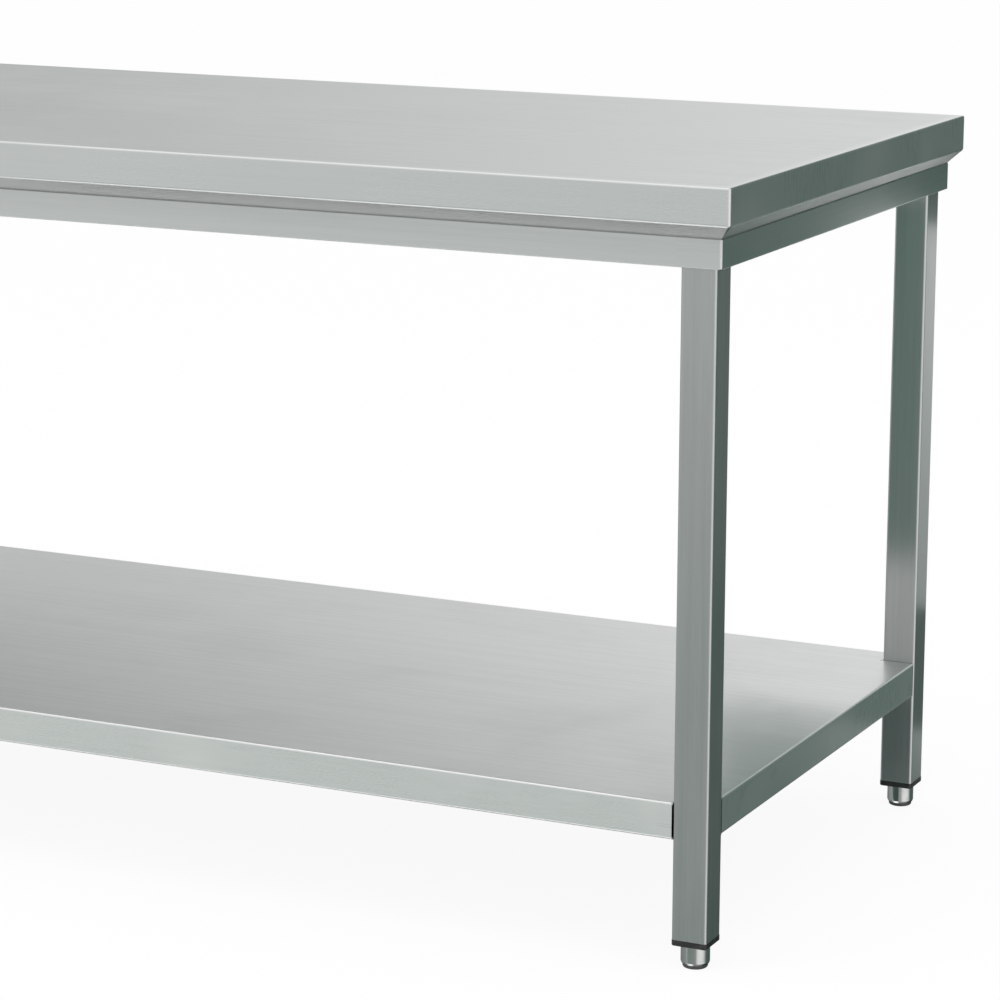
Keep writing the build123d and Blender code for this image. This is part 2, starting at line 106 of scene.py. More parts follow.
def outline(corners, radii, worn_and_sheen=1.5 * MM):
    """A closed outline with rounded corners, from its corner points in anticlockwise order.

    Each corner becomes an arc of its radius that touches both sides. Returns the points, their
    outward unit normals, and how much each is worn: 1 on an arc as large as the wear radius given,
    else less. This wear lightens the steel on the folds: partly burnished wear, partly a painted highlight.
    """
    corners = np.asarray(corners, float)
    points, normals, wear = [], [], []
    for here, before, after, radius in zip(
        corners, np.roll(corners, 1, 0), np.roll(corners, -1, 0), radii
    ):
        a = (before - here) / np.linalg.norm(before - here)
        b = (after - here) / np.linalg.norm(after - here)
        half = math.acos(np.clip(a @ b, -1, 1)) / 2
        middle = here + (a + b) / np.linalg.norm(a + b) * radius / math.sin(half)
        start = here + a * radius / math.tan(half) - middle
        turn = -(a[0] * b[1] - a[1] * b[0])
        sweep = math.copysign(math.pi - 2 * half, turn)
        steps = FOLD_STEPS if radius > 0.5 * MM else EDGE_STEPS
        angle = np.linspace(0, sweep, steps + 1)
        c, s = np.cos(angle), np.sin(angle)
        arm = np.stack([start[0] * c - start[1] * s, start[0] * s + start[1] * c], 1)
        points.append(middle + arm)
        normals.append(arm / radius * math.copysign(1, turn))
        wear.append(np.full(steps + 1, min(radius / worn_and_sheen, 1.0)))
    return np.concatenate(points), np.concatenate(normals), np.concatenate(wear)


def frame_ring(half_x, half_y, radius):
    """A function of the distance in from a rounded rectangle's edge: its ring there.

    The four corner arcs keep their centres as the ring shrinks, down to a sharp corner. The ring
    runs anticlockwise. Returns its points and outward normals.
    """

    def ring(inset):
        r = max(radius - inset, LEAST_RADIUS)
        angle = np.linspace(0, math.pi / 2, CORNER_STEPS) + np.arange(4)[:, None] * math.pi / 2
        signs = np.array([(1, 1), (-1, 1), (-1, -1), (1, -1)], float)
        reach = np.array([half_x, half_y]) - inset - r
        n = np.stack([np.cos(angle), np.sin(angle)], 2)
        return (signs[:, None, :] * reach + n * r).reshape(-1, 2), n.reshape(-1, 2)

    return ring


def corner_run(reach, face, radius, seam):
    """A function of the distance in from a frame's face: a run along one side of the frame.

    It ends on the 45 degree planes through the corners, half an arc past each end of the
    straight, and the straight lies at -face. Returns its points and outward normals.
    """

    def run(inset):
        r = max(radius - inset, LEAST_RADIUS)
        angle = np.linspace(-math.pi / 4, 0, CORNER_STEPS)
        left = np.stack([np.sin(angle), -np.cos(angle)], 1)
        right = left[::-1] * (-1, 1)
        centre = np.array([reach - inset - r - seam, -face + inset + r])
        places = np.concatenate([centre * (-1, 1) + left * r, centre + right * r])
        return places, np.concatenate([left, right])

    return run


def straight_run(start, end, face):
    """A function of the distance in from -face: a straight run from start to end along X."""

    def run(inset):
        return np.array([(start, -face + inset), (end, -face + inset)]), np.array([(0, -1.0), (0, -1.0)])

    return run


def carry(section, run, ring_closed=False, section_closed=True, grain=(1, 0)):
    """Carries an outline of (outwards, up) points along a run: one row of points per outline point.

    Point (i, j) is the run's point j at the outline point's distance in, at its height. An open
    run is capped with the outline at each end; an open outline is capped with its end rings.
    The sheet is also unfolded flat: its place there is the plan place plus, outwards, the length
    of outline from the last point less the plan distance that it covers. The grain is a plan
    direction on the flat sheet, and folds with it: its part along the run stays as it is, and
    its part outwards turns with the surface. Returns a shell: points, normals, wear (burnished
    wear with a painted highlight on the folds), flat places along and across the grain, grain
    directions, side faces and caps.
    """
    points, normals, wear = section
    rows = [run(-u) for u in points[:, 0]]
    plan = np.stack([r[0] for r in rows])
    out = np.stack([r[1] for r in rows])
    count, across = plan.shape[:2]

    def tall(column):
        return np.broadcast_to(column[:, None, None], (count, across, 1))

    co = np.concatenate([plan, tall(points[:, 1])], 2)
    n = np.concatenate([out * tall(normals[:, 0]), tall(normals[:, 1])], 2)

    steps = np.linalg.norm(np.diff(points, axis=0), axis=1)
    back = np.append(np.cumsum(steps[::-1])[::-1], 0)
    extra = back - (points[:, 0] - points[-1, 0])
    flat = plan + out * tall(extra)
    side = np.stack([-out[..., 1], out[..., 0]], 2)
    outwards, along = out @ np.array(grain, float), side @ np.array(grain, float)
    outwards, along = outwards[..., None], along[..., None]
    level_part = outwards * tall(normals[:, 1]) * out + along * side
    lines = np.concatenate([level_part, -outwards * tall(normals[:, 0])], 2)
    flat_along, flat_across = flat @ np.array(grain, float), flat @ np.array([-grain[1], grain[0]], float)
    sheet = np.stack([flat_along, flat_across, np.zeros((count, across))], 2)

    grid = np.arange(count * across).reshape(count, across)
    wrapped = np.concatenate([grid, grid[:1]]) if section_closed else grid
    wrapped = np.concatenate([wrapped, wrapped[:, :1]], 1) if ring_closed else wrapped
    quads = np.stack([wrapped[:-1, :-1], wrapped[:-1, 1:], wrapped[1:, 1:], wrapped[1:, :-1]], -1)
    caps = []
    if not ring_closed:
        caps = [grid[:, 0].tolist(), grid[::-1, -1].tolist()]
    if not section_closed:
        caps = [grid[0][::-1].tolist(), grid[-1].tolist()]
    flat_rows = [a.reshape(-1, 3) for a in (co, n, sheet, lines)]
    return Shell(*flat_rows[:2], np.repeat(wear, across), *flat_rows[2:], quads.reshape(-1, 4).tolist(), caps)


def quarter_turn(vectors):
    """Turns (x, y, z) rows a quarter about Z, so that a run at the front lies at the right."""
    return np.stack([-vectors[:, 1], vectors[:, 0], vectors[:, 2]], 1)


def place(shell, quarter=0, move=(0, 0, 0)):
    """Turns a shell about Z by a number of quarters and moves it."""
    points, normals, lines = shell.points, shell.normals, shell.grain
    for _ in range(quarter):
        points, normals, lines = quarter_turn(points), quarter_turn(normals), quarter_turn(lines)
    return shell._replace(points=points + np.asarray(move, float), normals=normals, grain=lines)


def slab(corners, low, high):
    """A flat plate from its plan corners, anticlockwise: an upper and a lower face and its edges."""
    corners = np.asarray(corners, float)
    count = len(corners)
    points = np.concatenate([np.c_[corners, np.full(count, high)], np.c_[corners, np.full(count, low)]])
    sides = [[i, count + i, count + (i + 1) % count, (i + 1) % count] for i in range(count)]
    caps = [list(range(count)), list(range(2 * count - 1, count - 1, -1))] + sides
    blank = np.zeros((2 * count, 3))
    return Shell(points, blank, np.zeros(2 * count), points * (1, 1, 0), blank + (1, 0, 0), [], caps)


def in_scene(name, data):
    """A new object in the scene."""
    obj = bpy.data.objects.new(name, data)
    bpy.context.scene.collection.objects.link(obj)
    return obj


CUT_APART = 0.37  # metres between the places on the sheet that two pieces are cut from


def piece(name, shells, material, body, slot, *nodes):
    """Makes one object of closed shells, with flat caps and the carried faces' own normals.

    It rides on a body, takes the finish given and stands for the nodes named. Its slot is not used.
    """
    starts = np.cumsum([0] + [len(shell.points) for shell in shells])
    faces, flat = [], []
    for start, shell in zip(starts, shells):
        for group_of, is_flat in ((shell.faces, False), (shell.caps, True)):
            faces += [[corner + int(start) for corner in face] for face in group_of]
            flat += [is_flat] * len(group_of)
    points, normals, wear, sheet, lines = (np.concatenate([shell[k] for shell in shells]) for k in range(5))
    mesh = bpy.data.meshes.new(name)
    mesh.from_pydata(points.tolist(), [], faces)
    mesh.update()
    mesh.polygons.foreach_set("use_smooth", ~np.array(flat))
    corner_vertex = np.zeros(len(mesh.loops), int)
    mesh.loops.foreach_get("vertex_index", corner_vertex)
    corner_normals = normals[corner_vertex]
    # A normal of zero leaves a flat cap with its face's own.
    corner_normals[np.repeat(flat, [len(face) for face in faces])] = 0
    mesh.normals_split_custom_set(corner_normals.tolist())
    # The worn value marks burnished folds, and also paints a highlight on them.
    mesh.attributes.new("worn_and_sheen", "FLOAT", "POINT").data.foreach_set("value", wear.astype(np.float32))
    sheet = sheet + (0, 0, CUT_APART * len(bpy.data.meshes))
    for label, vectors in (("sheet", sheet), ("grain", lines)):
        column = mesh.attributes.new(label, "FLOAT_VECTOR", "POINT")
        column.data.foreach_set("vector", vectors.ravel().astype(np.float32))
    obj = in_scene(name, mesh)
    mesh.materials.append(material)
    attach(obj, body)
    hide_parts(*nodes)
    return obj


# Finishes ----------------------------------------------------------------------------------


class Nodes:
    """Short calls for a node tree: add a node, set its values and join its inputs."""

    def __init__(self, tree):
        self.tree = tree

    def add(self, kind, values=(), **settings):
        node = self.tree.nodes.new(kind)
        for key, value in settings.items():
            setattr(node, key, value)
        for key, value in dict(values).items():
            if isinstance(value, bpy.types.NodeSocket):
                self.tree.links.new(value, node.inputs[key])
            else:
                node.inputs[key].default_value = value
        return node

    def math(self, operation, *values, clamp=False):
        node = self.add("ShaderNodeMath", enumerate(values), operation=operation, use_clamp=clamp)
        return node.outputs[0]

    def vector(self, operation, *values):
        return self.add("ShaderNodeVectorMath", enumerate(values), operation=operation).outputs[0]

    def scaled(self, vector, scale):
        return self.add("ShaderNodeVectorMath", {0: vector, "Scale": scale}, operation="SCALE").outputs[0]

    def spread(self, value, low, high, to_low=0.0, to_high=1.0):
        """Maps low..high smoothly to to_low..to_high, and holds beyond them."""
        return self.add(
            "ShaderNodeMapRange",
            {"Value": value, "From Min": low, "From Max": high, "To Min": to_low, "To Max": to_high},
            interpolation_type="SMOOTHSTEP",
        ).outputs["Result"]

    def noise(self, vector, scale, detail=2.0, roughness=0.5):
        values = {"Vector": vector, "Scale": scale, "Detail": detail, "Roughness": roughness}
        return self.add("ShaderNodeTexNoise", values).outputs["Fac"]

    def blend(self, factor, a, b):
        """Mixes two colours."""
        node = self.add("ShaderNodeMix", data_type="RGBA")
        for socket, value in ((node.inputs[0], factor), (node.inputs[6], a), (node.inputs[7], b)):
            if isinstance(value, bpy.types.NodeSocket):
                self.tree.links.new(value, socket)
            else:
                socket.default_value = value
        return node.outputs[2]


def group(name, inputs, outputs):
    """A shader node group with float or vector inputs and outputs, given as name to default."""
    tree = bpy.data.node_groups.new(name, "ShaderNodeTree")
    for label, default in inputs.items():
        kind = "NodeSocketFloat" if isinstance(default, float) else "NodeSocketVector"
        socket = tree.interface.new_socket(label, in_out="INPUT", socket_type=kind)
        if isinstance(default, float):
            socket.default_value = default
    for label in outputs:
        tree.interface.new_socket(label, in_out="OUTPUT", socket_type="NodeSocketFloat")
    nodes = Nodes(tree)
    entry = tree.nodes.new("NodeGroupInput")
    leave = tree.nodes.new("NodeGroupOutput")
    return nodes, entry.outputs, leave.inputs


def make_grain_group():
    """Straight grain: noise drawn out along the first axis of Vector, in fine and broad strokes."""
    nodes, given, result = group(
        "straight grain", {"Vector": None, "Stroke": 18.0, "Fineness": 1400.0}, ["Fine", "Broad"]
    )
    scales = {0: given["Stroke"], 1: given["Fineness"], 2: given["Fineness"]}
    stretch = nodes.add("ShaderNodeCombineXYZ", scales).outputs[0]
    fine_at = nodes.vector("MULTIPLY", given["Vector"], stretch)
    fine = nodes.noise(fine_at, 1.0, 3.0, 0.6)
    broad = nodes.noise(nodes.scaled(fine_at, 0.11), 1.0, 4.0, 0.65)
    nodes.tree.links.new(fine, result["Fine"])
    nodes.tree.links.new(broad, result["Broad"])
    return nodes.tree


def make_handling_group():
    """Marks of use: soft patches where the sheet was wiped or handled, and its slight waviness."""
    nodes, given, result = group("handling", {"Vector": None, "Size": 5.0}, ["Smudge", "Wave"])
    warp = {"Vector": given["Vector"], "Scale": 1.3, "Detail": 2.0}
    warp = nodes.add("ShaderNodeTexNoise", warp).outputs["Color"]
    at = nodes.vector("ADD", given["Vector"], nodes.scaled(warp, 0.35))
    smudge = nodes.spread(nodes.noise(at, given["Size"], 5.0, 0.62), 0.42, 0.72)
    wave = nodes.noise(given["Vector"], 2.3, 1.0, 0.4)
    nodes.tree.links.new(smudge, result["Smudge"])
    nodes.tree.links.new(wave, result["Wave"])
    return nodes.tree


def make_scratch_group():
    """Fine scratches: thin lines where a stretched, turned noise crosses its middle value."""
    nodes, given, result = group("scratches", {"Vector": None, "Density": 9.0, "Turn": 0.6}, ["Scratch"])
    lines = None
    for n, (turn, drawn) in enumerate(((1.0, 26.0), (-0.7, 34.0))):
        angle = nodes.math("MULTIPLY", given["Turn"], turn)
        turned = {"Vector": given["Vector"], "Angle": angle}
        turned = nodes.add("ShaderNodeVectorRotate", turned, rotation_type="Z_AXIS").outputs[0]
        drawn_out = nodes.vector("MULTIPLY", turned, (1.0, drawn, 1.0))
        noise = nodes.noise(drawn_out, given["Density"], 2.0, 0.45)
        off = nodes.math("ABSOLUTE", nodes.math("SUBTRACT", noise, 0.5))
        line = nodes.spread(off, 0.0, 0.004, 1.0, 0.0)
        patch = nodes.spread(nodes.noise(given["Vector"], 7.0 + 4.0 * n, 1.0), 0.56, 0.66)
        line = nodes.math("MULTIPLY", line, patch)
        lines = line if lines is None else nodes.math("MAXIMUM", lines, line)
    nodes.tree.links.new(lines, result["Scratch"])
    return nodes.tree


GRAIN = make_grain_group()
HANDLING = make_handling_group()
SCRATCHES = make_scratch_group()


def start_material(name):
    """A material with a Principled shader. Returns it, its nodes, the shader and the coordinates."""
    material = bpy.data.materials.new(name)
    material.use_nodes = True
    material.node_tree.nodes.clear()
    nodes = Nodes(material.node_tree)
    shader = nodes.add("ShaderNodeBsdfPrincipled")
    nodes.add("ShaderNodeOutputMaterial", {"Surface": shader.outputs[0]})
    here = nodes.add("ShaderNodeTexCoord").outputs["Object"]
    return material, nodes, shader, here


def use_group(nodes, tree, **values):
    """Adds a node group with some of its inputs given, and returns its outputs."""
    node = nodes.add("ShaderNodeGroup", node_tree=tree)
    for key, value in values.items():
        if isinstance(value, bpy.types.NodeSocket):
            nodes.tree.links.new(value, node.inputs[key])
        else:
            node.inputs[key].default_value = value
    return node.outputs


ACROSS_THE_GRAIN = 0.25  # of a turn: the way that brushed steel spreads light


def brushed_steel(name, tone, shade, rough, spread=0.75, scratch=0.4, smudge=1.0, own_sheet=True):
    """Brushed stainless sheet: its grain follows the unfolded sheet, and spreads light across it.

    Streaks of `tone` and `shade` follow the grain; folds are lightened, partly burnished wear and
    partly a painted highlight, wiped patches are a little duller, and scratches a little brighter.
    Without `own_sheet` the grain lies along X.
    """
    material, nodes, shader, here = start_material(name)
    sheet = here
    if own_sheet:
        sheet = nodes.add("ShaderNodeAttribute", attribute_name="sheet").outputs["Vector"]
    strokes = use_group(nodes, GRAIN, Vector=sheet)
    marks = use_group(nodes, HANDLING, Vector=here)
    lines = use_group(nodes, SCRATCHES, Vector=sheet)
    worn_and_sheen = nodes.add("ShaderNodeAttribute", attribute_name="worn_and_sheen").outputs["Fac"]
    streak = nodes.math(
        "ADD", nodes.math("MULTIPLY", strokes["Fine"], 0.45), nodes.math("MULTIPLY", strokes["Broad"], 0.55)
    )
    colour = nodes.blend(nodes.spread(streak, 0.3, 0.7), (*shade, 1), (*tone, 1))
    dull = nodes.math("MULTIPLY", marks["Smudge"], 0.14 * smudge)
    colour = nodes.blend(dull, colour, (*(c * 0.8 for c in shade), 1))
    scratched = nodes.math("MULTIPLY", lines["Scratch"], scratch)
    # Scratches and worn folds lighten the colour; on the folds this is also a painted highlight.
    scratch_and_sheen = nodes.math("MAXIMUM", scratched, nodes.math("MULTIPLY", worn_and_sheen, 0.6))
    colour = nodes.blend(scratch_and_sheen, colour, (*(c * 1.15 for c in tone), 1))
    nodes.tree.links.new(colour, shader.inputs["Base Color"])
    roughness = nodes.math("ADD", nodes.math("MULTIPLY", strokes["Fine"], 0.1), rough - 0.05)
    roughness = nodes.math("ADD", roughness, nodes.math("MULTIPLY", marks["Smudge"], 0.05 * smudge))
    roughness = nodes.math("SUBTRACT", roughness, nodes.math("MULTIPLY", worn_and_sheen, 0.06), clamp=True)
    nodes.tree.links.new(roughness, shader.inputs["Roughness"])
    shader.inputs["Metallic"].default_value = 1.0
    if own_sheet:
        shader.inputs["Anisotropic"].default_value = spread
        shader.inputs["Anisotropic Rotation"].default_value = ACROSS_THE_GRAIN
        lines_of = nodes.add("ShaderNodeAttribute", attribute_name="grain").outputs["Vector"]
        nodes.tree.links.new(lines_of, shader.inputs["Tangent"])
    relief = nodes.math("MULTIPLY", strokes["Fine"], 0.01)
    relief = nodes.math("ADD", relief, nodes.math("MULTIPLY", marks["Wave"], 0.6))
    relief = nodes.math("SUBTRACT", relief, nodes.math("MULTIPLY", lines["Scratch"], 0.01))
    bump = nodes.add("ShaderNodeBump", {"Height": relief, "Strength": 0.3, "Distance": MM})
    nodes.tree.links.new(bump.outputs[0], shader.inputs["Normal"])
    return material


def polished_steel(name):
    """Turned and polished steel: smooth, with darker and duller rubbed patches."""
    material, nodes, shader, here = start_material(name)
    marks = use_group(nodes, HANDLING, Vector=here, Size=90.0)
    strokes = use_group(nodes, GRAIN, Vector=here, Stroke=60.0, Fineness=2400.0)
    rubbed = nodes.math("MULTIPLY", marks["Smudge"], 0.5)
    colour = nodes.blend(rubbed, (0.58, 0.59, 0.58, 1), (0.42, 0.43, 0.42, 1))
    nodes.tree.links.new(colour, shader.inputs["Base Color"])
    roughness = nodes.math("ADD", nodes.math("MULTIPLY", marks["Smudge"], 0.1), 0.1)
    roughness = nodes.math("ADD", roughness, nodes.math("MULTIPLY", strokes["Broad"], 0.05))
    nodes.tree.links.new(roughness, shader.inputs["Roughness"])
    shader.inputs["Metallic"].default_value = 1.0
    return material


def zinc_plate(name):
    """Bright zinc plating: cool grey with faint cloudy patches, in small dimpled cells."""
    material, nodes, shader, here = start_material(name)
    marks = use_group(nodes, HANDLING, Vector=here, Size=60.0)
    cells = nodes.add("ShaderNodeTexVoronoi", {"Vector": here, "Scale": 700.0}).outputs["Distance"]
    colour = nodes.blend(marks["Smudge"], (0.6, 0.62, 0.65, 1), (0.47, 0.49, 0.5, 1))
    nodes.tree.links.new(colour, shader.inputs["Base Color"])
    roughness = nodes.math("ADD", nodes.math("MULTIPLY", cells, 0.2), 0.3)
    nodes.tree.links.new(roughness, shader.inputs["Roughness"])
    shader.inputs["Metallic"].default_value = 1.0
    bump = nodes.add("ShaderNodeBump", {"Height": cells, "Strength": 0.15, "Distance": 0.1 * MM})
    nodes.tree.links.new(bump.outputs[0], shader.inputs["Normal"])
    return material


def moulded(name, colour, scuffed, rough, grain_size):
    """Moulded plastic: fine grain from the mould, and paler scuffs in patches."""
    material, nodes, shader, here = start_material(name)
    marks = use_group(nodes, HANDLING, Vector=here, Size=70.0)
    grain = nodes.noise(here, grain_size, 2.0, 0.6)
    tint = nodes.blend(nodes.math("MULTIPLY", marks["Smudge"], 0.45), (*colour, 1), (*scuffed, 1))
    nodes.tree.links.new(tint, shader.inputs["Base Color"])
    roughness = nodes.math("ADD", nodes.math("MULTIPLY", marks["Smudge"], 0.15), rough)
    nodes.tree.links.new(roughness, shader.inputs["Roughness"])
    bump = nodes.add("ShaderNodeBump", {"Height": grain, "Strength": 0.3, "Distance": 0.08 * MM})
    nodes.tree.links.new(bump.outputs[0], shader.inputs["Normal"])
    return material


def laminate(name):
    """Grey melamine laminate: a fine pebbled face with faint paler flecks and dust."""
    material, nodes, shader, here = start_material(name)
    marks = use_group(nodes, HANDLING, Vector=here, Size=14.0)
    pebbles = nodes.noise(here, 900.0, 2.0, 0.55)
    fleck = nodes.spread(nodes.noise(here, 420.0, 1.0), 0.6, 0.7, 0.0, 0.35)
    colour = nodes.blend(fleck, (0.43, 0.435, 0.43, 1), (0.55, 0.55, 0.54, 1))
    colour = nodes.blend(nodes.math("MULTIPLY", marks["Smudge"], 0.3), colour, (0.35, 0.345, 0.335, 1))
    nodes.tree.links.new(colour, shader.inputs["Base Color"])
    roughness = nodes.math("ADD", nodes.math("MULTIPLY", pebbles, 0.2), 0.4)
    nodes.tree.links.new(roughness, shader.inputs["Roughness"])
    bump = nodes.add("ShaderNodeBump", {"Height": pebbles, "Strength": 0.25, "Distance": 0.1 * MM})
    nodes.tree.links.new(bump.outputs[0], shader.inputs["Normal"])
    return material


# Each steel's streaks run from its tone to its shade.
TONE, SHADE = (0.63, 0.64, 0.635), (0.56, 0.57, 0.565)
# The legs' tones are the sheet's steel painted darker: painted shade, not a different steel.
SHADED_LEG_TONE, SHADED_LEG_SHADE = (0.5, 0.515, 0.51), (0.44, 0.455, 0.45)
# The shelf's tones are the same steel painted lighter: painted light.
LIT_SHELF_TONE, LIT_SHELF_SHADE = (0.76, 0.765, 0.76), (0.69, 0.695, 0.69)
ROUGH = 0.34
top_steel = brushed_steel("worktop steel", TONE, SHADE, ROUGH)
rail_steel = brushed_steel("rail steel", TONE, SHADE, ROUGH)
shaded_leg_steel = brushed_steel("shaded leg tube steel", SHADED_LEG_TONE, SHADED_LEG_SHADE, ROUGH, spread=0.45)
lit_shelf_steel = brushed_steel("lit shelf steel", LIT_SHELF_TONE, LIT_SHELF_SHADE, ROUGH)
foot_steel = polished_steel("polished foot steel")
zinc = zinc_plate("zinc plate")
black_nylon = moulded("black nylon", (0.012, 0.012, 0.013), (0.05, 0.05, 0.05), 0.38, 2600.0)
grey_pad = moulded("grey pad plastic", (0.05, 0.05, 0.052), (0.13, 0.13, 0.12), 0.5, 1800.0)
board = laminate("grey laminate")

# Worktop -----------------------------------------------------------------------------------

edge_bottom = height - EDGE_DROP
lip_face = return_size + RAIL_SHEET  # the lip stands behind the rails
lean = TOP_SHEET * math.tan(math.pi / 8)  # how far a half fold moves the inner face's corner
cap = 14 * MM  # where the flat top and its underside end, well inside the folds
inner_fold = FOLD - TOP_SHEET
top_corners = [
    (-cap, height),
    (-cap, height - TOP_SHEET),
    (-TOP_SHEET, height - TOP_SHEET),
    (-TOP_SHEET, edge_bottom + lean),
    (-lip_face - TOP_SHEET, edge_bottom - lip_face + lean),
    (-lip_face - TOP_SHEET, lip_bottom),
    (-lip_face, lip_bottom),
    (-lip_face, edge_bottom - lip_face),
    (0, edge_bottom),
    (0, height),
]
top_radii = [0, 0, inner_fold, inner_fold, FOLD, CUT_EDGE, CUT_EDGE, inner_fold, SOFT_FOLD, FOLD]


def open_outline(corners, radii):
    """An outline left open between its first two corners, which stay sharp and aren't worn or painted with a
    highlight.
    """
    keep = outline(corners, [max(r, SHARP) for r in radii])
    first = EDGE_STEPS + 1  # the points of a sharp corner's small arc
    points, normals, wear = (np.concatenate([a[2 * first:], a[:first]]) for a in keep)
    start = np.array([corners[1]])
    end = np.array([corners[0]])
    points = np.concatenate([start, points[:-first], end])
    normals = np.concatenate([[(0, -1.0)], normals[:-first], [(0, 1.0)]])
    wear = np.concatenate([[0], wear[:-first], [0]])
    return points, normals, wear


top_ring = frame_ring(length / 2, depth / 2, WELDED_CORNER)
top_shell = carry(open_outline(top_corners, top_radii), top_ring, ring_closed=True, section_closed=False)
piece("worktop_sheet", [top_shell], top_steel, "frame", "brushed_stainless", "top_panel")

# Rails -------------------------------------------------------------------------------------

web_section = outline(
    [(-RAIL_SHEET, rail_bottom), (0, rail_bottom), (0, rail_top), (-RAIL_SHEET, rail_top)],
    [CUT_EDGE, RAIL_FOLD, CUT_EDGE, CUT_EDGE],
)
floor_in, hem_top = rail_bottom + RAIL_SHEET, rail_bottom + RAIL_SHEET + RAIL_HEM
channel_section = outline(
    [
        (-rail_flange, rail_bottom),
        (0, rail_bottom),
        (0, rail_top),
        (-RAIL_SHEET, rail_top),
        (-RAIL_SHEET, floor_in),
        (-rail_flange + RAIL_SHEET, floor_in),
        (-rail_flange + RAIL_SHEET, hem_top),
        (-rail_flange, hem_top),
    ],
    [RAIL_FOLD, RAIL_FOLD, CUT_EDGE, CUT_EDGE, CUT_EDGE, CUT_EDGE, CUT_EDGE, CUT_EDGE],
)
POCKET_SHEET = 2.6 * MM  # from the leg past its pocket, with the gaps on both sides of the sheet
flange_gap = leg_outer + leg_size + POCKET_SHEET


def rail_shells(run_length, across, quarter):
    """One rail: a channel between the leg pockets, and a plain web past each of its ends."""
    half, face = run_length / 2 - return_size, across / 2 - return_size
    middle = run_length / 2 - flange_gap
    around = corner_run(half, face, WELDED_CORNER, SEAM)

    def left_end(inset):
        plan, out = (rows[:CORNER_STEPS] for rows in around(inset))
        return np.concatenate([plan, [(-middle, plan[-1, 1])]]), np.concatenate([out, [(0, -1.0)]])

    def right_end(inset):
        plan, out = (rows[CORNER_STEPS:] for rows in around(inset))
        return np.concatenate([[(middle, plan[0, 1])], plan]), np.concatenate([[(0, -1.0)], out])

    shells = [
        carry(channel_section, straight_run(-middle, middle, face)),
        carry(web_section, left_end),
        carry(web_section, right_end),
    ]
    return [place(s, quarter) for s in shells]


for name, run_length, across, quarter in (
    ("front_rail", length, depth, 0),
    ("right_rail", depth, length, 1),
    ("rear_rail", length, depth, 2),
    ("left_rail", depth, length, 3),
):
    shells = rail_shells(run_length, across, quarter)
    piece(f"{name}_channel", shells, rail_steel, "frame", "brushed_stainless", name)

# Legs --------------------------------------------------------------------------------------

tube_section = outline(
    [(-LEG_WALL, leg_low.z), (0, leg_low.z), (0, leg_high.z), (-LEG_WALL, leg_high.z)], [CUT_EDGE] * 4, 1.0
)
tube_ring = frame_ring(leg_size / 2, leg_size / 2, LEG_RADIUS)


def upright(shell):
    """Lays the grain up the tube, and marks its rounded corners as worn, fading out on its sides: a painted
    highlight along the corners, with some burnished wear.
    """
    x, y, z = shell.points.T
    rounded = 1 - np.abs(np.abs(shell.normals[:, 0]) - np.abs(shell.normals[:, 1]))
    return shell._replace(
        wear=np.maximum(shell.wear, np.clip(rounded * 1.2, 0, 1) * 0.8),
        sheet=np.stack([z, x, y], 1),
        grain=np.zeros_like(shell.points) + (0, 0, 1),
    )


tube_shell = upright(carry(tube_section, tube_ring, ring_closed=True))
for corner in CORNERS:
    low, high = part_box(f"{corner}_leg")
    shell = place(tube_shell, 0, ((low.x + high.x) / 2, (low.y + high.y) / 2, 0))
    piece(f"{corner}_leg_tube", [shell], shaded_leg_steel, "frame", "brushed_stainless", f"{corner}_leg")

# Undershelf --------------------------------------------------------------------------------

shelf_top, shelf_bottom = shelf_high.z, shelf_low.z
shelf_x, shelf_y = shelf_high.x, shelf_high.y
notch = leg_outer + leg_size + NOTCH_GAP - shelf_inset
under = shelf_top - SHELF_SHEET
PAST_FOLD = 1 * MM  # from a fold to where the flat plate starts
fold_in = FOLD + PAST_FOLD
side_section = outline(
    [
        (-fold_in, shelf_top),
        (-fold_in, under),
        (-SHELF_SHEET, under),
        (-SHELF_SHEET, shelf_bottom + SHELF_SHEET),
        (-SHELF_LIP, shelf_bottom + SHELF_SHEET),
        (-SHELF_LIP, shelf_bottom),
        (0, shelf_bottom),
        (0, shelf_top),
    ],
    [SHARP, SHARP, inner_fold, inner_fold, CUT_EDGE, CUT_EDGE, FOLD, FOLD],
)
tab_fold = SHELF_SHEET
plate_tab = tab_fold + PAST_FOLD
tab_section = outline(
    [
        (-plate_tab, shelf_top),
        (-plate_tab, under),
        (-SHELF_SHEET, under),
        (-SHELF_SHEET, shelf_bottom),
        (0, shelf_bottom),
        (0, shelf_top),
    ],
    [SHARP, SHARP, CUT_EDGE, CUT_EDGE, CUT_EDGE, tab_fold],
)


